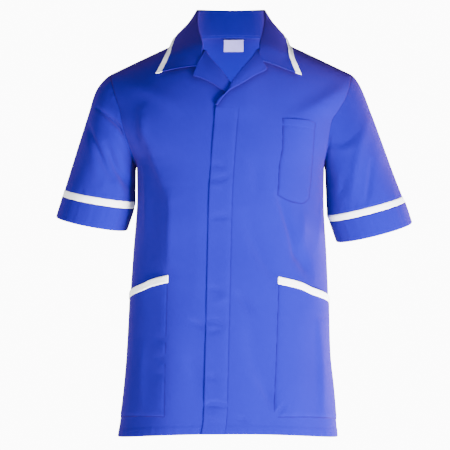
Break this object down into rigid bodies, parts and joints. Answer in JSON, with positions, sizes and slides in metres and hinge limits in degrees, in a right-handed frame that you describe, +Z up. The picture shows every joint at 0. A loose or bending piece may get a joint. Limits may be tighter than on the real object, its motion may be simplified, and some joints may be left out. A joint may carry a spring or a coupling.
{
  "type": "work tunic",
  "caption": "Short-sleeved hollow work tunic in its worn shape, with a turned-down collar, revers, a hidden front closure, patch pockets and white contrast trims.",
  "frame": {"origin": "the middle of the neck, level with the points where the shoulder seams meet the neck, where the wearer's shoulders hold the tunic up", "axes": "+Z up, -Y out of the front, +X towards the wearer's left"},
  "size_m": [0.6728, 0.2765, 0.8195],
  "materials": {
    "blue_twill": "smooth polyester and cotton twill with a faint sheen",
    "white_tape": "matt white twill tape",
    "neck_label": "blank woven satin label"
  },
  "bodies": {
    "root": {"back": "blue_twill", "front_left": "blue_twill", "front_right": "blue_twill", "fly_placket": "blue_twill", "lapel_left": "blue_twill", "lapel_right": "blue_twill", "collar": "blue_twill", "sleeve_left": "blue_twill", "sleeve_right": "blue_twill", "cuff_left": "blue_twill", "cuff_right": "blue_twill", "chest_pocket": "blue_twill", "pocket_left": "blue_twill", "pocket_right": "blue_twill", "collar_trim": "white_tape", "sleeve_band_left": "white_tape", "sleeve_band_right": "white_tape", "pocket_trim_left": "white_tape", "pocket_trim_right": "white_tape", "neck_label": "neck_label"}
  },
  "joints": []
}
